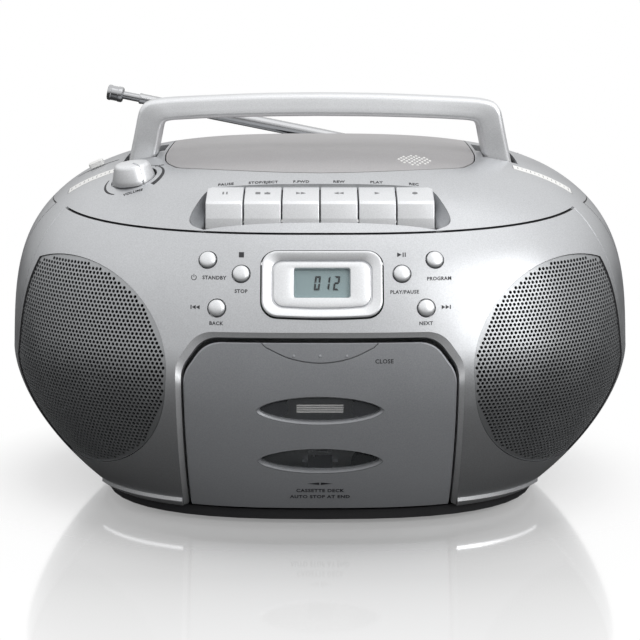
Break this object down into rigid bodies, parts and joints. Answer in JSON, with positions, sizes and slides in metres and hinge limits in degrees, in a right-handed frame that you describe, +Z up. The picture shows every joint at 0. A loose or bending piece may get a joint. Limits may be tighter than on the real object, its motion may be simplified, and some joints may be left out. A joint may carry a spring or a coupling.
{
  "type": "cassette player",
  "caption": "Portable silver radio, CD and cassette player with round speakers, piano keys, front cassette door, top disc lid, carry handle and telescopic antenna.",
  "frame": {"origin": "middle of the footprint on the floor", "axes": "+X to the viewer's right when facing the front, +Y to the back, +Z up"},
  "size_m": [0.3294, 0.2439, 0.2134],
  "materials": {
    "silver_plastic": "satin silver paint with a fine metallic grain",
    "door_plastic": "satin grey silver",
    "lid_plastic": "satin warm silver",
    "grille_metal": "perforated sheet, satin silver",
    "bright_plastic": "bright silver",
    "clear_smoke": "clear smoked window",
    "lcd": "grey-green liquid crystal",
    "black_plastic": "black moulded",
    "cone_paper": "black paper cone",
    "rubber": "black rubber",
    "steel": "machined steel",
    "chrome": "polished chrome",
    "white_plastic": "white moulded",
    "circuit_board": "green lacquer"
  },
  "bodies": {
    "case": {"front_cabinet": "silver_plastic", "left_grille": "grille_metal", "right_grille": "grille_metal", "left_speaker_frame": "black_plastic", "right_speaker_frame": "black_plastic", "left_speaker_cone": "cone_paper", "right_speaker_cone": "cone_paper", "display_bezel": "bright_plastic", "display_window": "clear_smoke", "lcd_panel": "lcd", "front_board": "circuit_board", "tape_deck_frame": "black_plastic", "playback_head": "steel", "tape_motor": "steel", "key_bracket": "black_plastic", "cd_well": "black_plastic", "top_cover": "silver_plastic", "left_scale_strip": "white_plastic", "right_scale_strip": "white_plastic", "rear_cover": "silver_plastic", "ac_inlet": "black_plastic", "base_plate": "black_plastic", "front_left_foot": "rubber", "front_right_foot": "rubber", "rear_left_foot": "rubber", "rear_right_foot": "rubber", "main_board": "circuit_board", "transformer": "steel"},
    "standby_button_body": {"standby_button": "bright_plastic"},
    "stop_button_body": {"stop_button": "bright_plastic"},
    "skip_back_button_body": {"skip_back_button": "bright_plastic"},
    "play_button_body": {"play_button": "bright_plastic"},
    "program_button_body": {"program_button": "bright_plastic"},
    "skip_next_button_body": {"skip_next_button": "bright_plastic"},
    "pause_key_body": {"pause_key": "bright_plastic"},
    "stop_eject_key_body": {"stop_eject_key": "bright_plastic"},
    "fast_forward_key_body": {"fast_forward_key": "bright_plastic"},
    "rewind_key_body": {"rewind_key": "bright_plastic"},
    "play_key_body": {"play_key": "bright_plastic"},
    "record_key_body": {"record_key": "bright_plastic"},
    "cassette_door_body": {"cassette_door": "door_plastic", "upper_door_window": "clear_smoke", "lower_door_window": "clear_smoke", "cassette_carrier": "black_plastic"},
    "cd_lid_body": {"cd_lid": "lid_plastic"},
    "handle_body": {"carry_handle": "silver_plastic"},
    "antenna_knuckle_body": {"antenna_knuckle": "chrome"},
    "antenna_base_body": {"antenna_base_tube": "chrome"},
    "antenna_middle_body": {"antenna_middle_tube": "chrome"},
    "antenna_tip_body": {"antenna_tip_rod": "chrome"},
    "volume_knob_body": {"volume_knob": "bright_plastic"},
    "function_slider_body": {"function_slider": "white_plastic"},
    "tuning_wheel_body": {"tuning_wheel": "black_plastic"},
    "left_hub_body": {"left_tape_hub": "white_plastic"},
    "right_hub_body": {"right_tape_hub": "white_plastic"},
    "capstan_body": {"capstan_flywheel": "steel"},
    "pinch_roller_body": {"pinch_roller": "rubber"},
    "spindle_body": {"cd_spindle": "black_plastic"},
    "laser_body": {"laser_carriage": "black_plastic"},
    "battery_door_body": {"battery_door": "silver_plastic"}
  },
  "joints": [
    {"name": "standby_button_press", "type": "slide", "parent": "case", "child": "standby_button_body", "axis": [0.1104, 0.8449, -0.5234], "range_m": [0, 0.0012], "stiffness_N_per_m": 400},
    {"name": "stop_button_press", "type": "slide", "parent": "case", "child": "stop_button_body", "axis": [0.061, 0.8832, -0.465], "range_m": [0, 0.0012], "stiffness_N_per_m": 400},
    {"name": "skip_back_button_press", "type": "slide", "parent": "case", "child": "skip_back_button_body", "axis": [0.0976, 0.9303, -0.3536], "range_m": [0, 0.0012], "stiffness_N_per_m": 400},
    {"name": "play_button_press", "type": "slide", "parent": "case", "child": "play_button_body", "axis": [-0.0651, 0.8828, -0.4651], "range_m": [0, 0.0012], "stiffness_N_per_m": 400},
    {"name": "program_button_press", "type": "slide", "parent": "case", "child": "program_button_body", "axis": [-0.115, 0.8441, -0.5237], "range_m": [0, 0.0012], "stiffness_N_per_m": 400},
    {"name": "skip_next_button_press", "type": "slide", "parent": "case", "child": "skip_next_button_body", "axis": [-0.1026, 0.9297, -0.3536], "range_m": [0, 0.0012], "stiffness_N_per_m": 400},
    {"name": "pause_key_press", "type": "hinge", "parent": "case", "child": "pause_key_body", "pos_m": [0, -0.056, 0.16], "axis": [1, 0, 0], "range_deg": [0, 7], "stiffness_Nm_per_rad": 0.6},
    {"name": "stop_eject_key_press", "type": "hinge", "parent": "case", "child": "stop_eject_key_body", "pos_m": [0, -0.056, 0.16], "axis": [1, 0, 0], "range_deg": [0, 7], "stiffness_Nm_per_rad": 0.6},
    {"name": "fast_forward_key_press", "type": "hinge", "parent": "case", "child": "fast_forward_key_body", "pos_m": [0, -0.056, 0.16], "axis": [1, 0, 0], "range_deg": [0, 7], "stiffness_Nm_per_rad": 0.6},
    {"name": "rewind_key_press", "type": "hinge", "parent": "case", "child": "rewind_key_body", "pos_m": [0, -0.056, 0.16], "axis": [1, 0, 0], "range_deg": [0, 7], "stiffness_Nm_per_rad": 0.6},
    {"name": "play_key_press", "type": "hinge", "parent": "case", "child": "play_key_body", "pos_m": [0, -0.056, 0.16], "axis": [1, 0, 0], "range_deg": [0, 7], "stiffness_Nm_per_rad": 0.6},
    {"name": "record_key_press", "type": "hinge", "parent": "case", "child": "record_key_body", "pos_m": [0, -0.056, 0.16], "axis": [1, 0, 0], "range_deg": [0, 7], "stiffness_Nm_per_rad": 0.6},
    {"name": "cassette_door_open", "type": "hinge", "parent": "case", "child": "cassette_door_body", "pos_m": [0, -0.0885, 0.0122], "axis": [1, 0, 0], "range_deg": [0, 38]},
    {"name": "cd_lid_open", "type": "hinge", "parent": "case", "child": "cd_lid_body", "pos_m": [0, 0.075, 0.178], "axis": [-1, 0, 0], "range_deg": [0, 10]},
    {"name": "handle_fold", "type": "hinge", "parent": "case", "child": "handle_body", "pos_m": [0, -0.002, 0.166], "axis": [1, 0, 0], "range_deg": [-30, 0]},
    {"name": "antenna_tilt", "type": "hinge", "parent": "case", "child": "antenna_knuckle_body", "pos_m": [0.088, 0.1, 0.1624], "axis": [0, 1, 0], "range_deg": [0, 100]},
    {"name": "antenna_fold_back", "type": "hinge", "parent": "antenna_knuckle_body", "child": "antenna_base_body", "pos_m": [0.088, 0.1, 0.1624], "axis": [0.1979, 0, 0.9802], "range_deg": [-60, 0]},
    {"name": "antenna_middle_slide", "type": "slide", "parent": "antenna_base_body", "child": "antenna_middle_body", "axis": [-0.9802, 0, 0.1979], "range_m": [0, 0.12]},
    {"name": "antenna_tip_slide", "type": "slide", "parent": "antenna_middle_body", "child": "antenna_tip_body", "axis": [-0.9802, 0, 0.1979], "range_m": [0, 0.12]},
    {"name": "volume_turn", "type": "hinge", "parent": "case", "child": "volume_knob_body", "pos_m": [-0.0962, -0.043, 0.17311], "axis": [-0.12, -0.1, 0.9877], "range_deg": [0, 280]},
    {"name": "function_slide", "type": "slide", "parent": "case", "child": "function_slider_body", "axis": [0.9263, -0.0071, 0.3767], "range_m": [-0.007, 0.007]},
    {"name": "tuning_turn", "type": "hinge", "parent": "case", "child": "tuning_wheel_body", "pos_m": [0.1115, 0.07175, 0.15727], "axis": [-0.0804, 0.9379, -0.3374], "continuous": true},
    {"name": "left_hub_turn", "type": "hinge", "parent": "case", "child": "left_hub_body", "pos_m": [-0.02125, -0.083, 0.068], "axis": [0, -1, 0], "continuous": true},
    {"name": "right_hub_turn", "type": "hinge", "parent": "case", "child": "right_hub_body", "pos_m": [0.02125, -0.083, 0.068], "axis": [0, -1, 0], "continuous": true},
    {"name": "capstan_turn", "type": "hinge", "parent": "case", "child": "capstan_body", "pos_m": [0.022, -0.083, 0.041], "axis": [0, -1, 0], "continuous": true},
    {"name": "pinch_roller_turn", "type": "hinge", "parent": "case", "child": "pinch_roller_body", "pos_m": [0.022, -0.083, 0.033], "axis": [0, -1, 0], "continuous": true},
    {"name": "spindle_turn", "type": "hinge", "parent": "case", "child": "spindle_body", "pos_m": [0, 0.01, 0.16], "axis": [0, 0, 1], "continuous": true},
    {"name": "laser_slide", "type": "slide", "parent": "case", "child": "laser_body", "axis": [1, 0, 0], "range_m": [0, 0.018]},
    {"name": "battery_door_open", "type": "hinge", "parent": "case", "child": "battery_door_body", "pos_m": [0, 0.1045, 0.0452], "axis": [-1, 0, 0], "range_deg": [0, 80]}
  ],
  "couplings": [
    {"joint": "right_hub_turn", "follows": "capstan_turn", "ratio": 0.25},
    {"joint": "left_hub_turn", "follows": "capstan_turn", "ratio": 0.25},
    {"joint": "pinch_roller_turn", "follows": "capstan_turn", "ratio": -0.2}
  ]
}
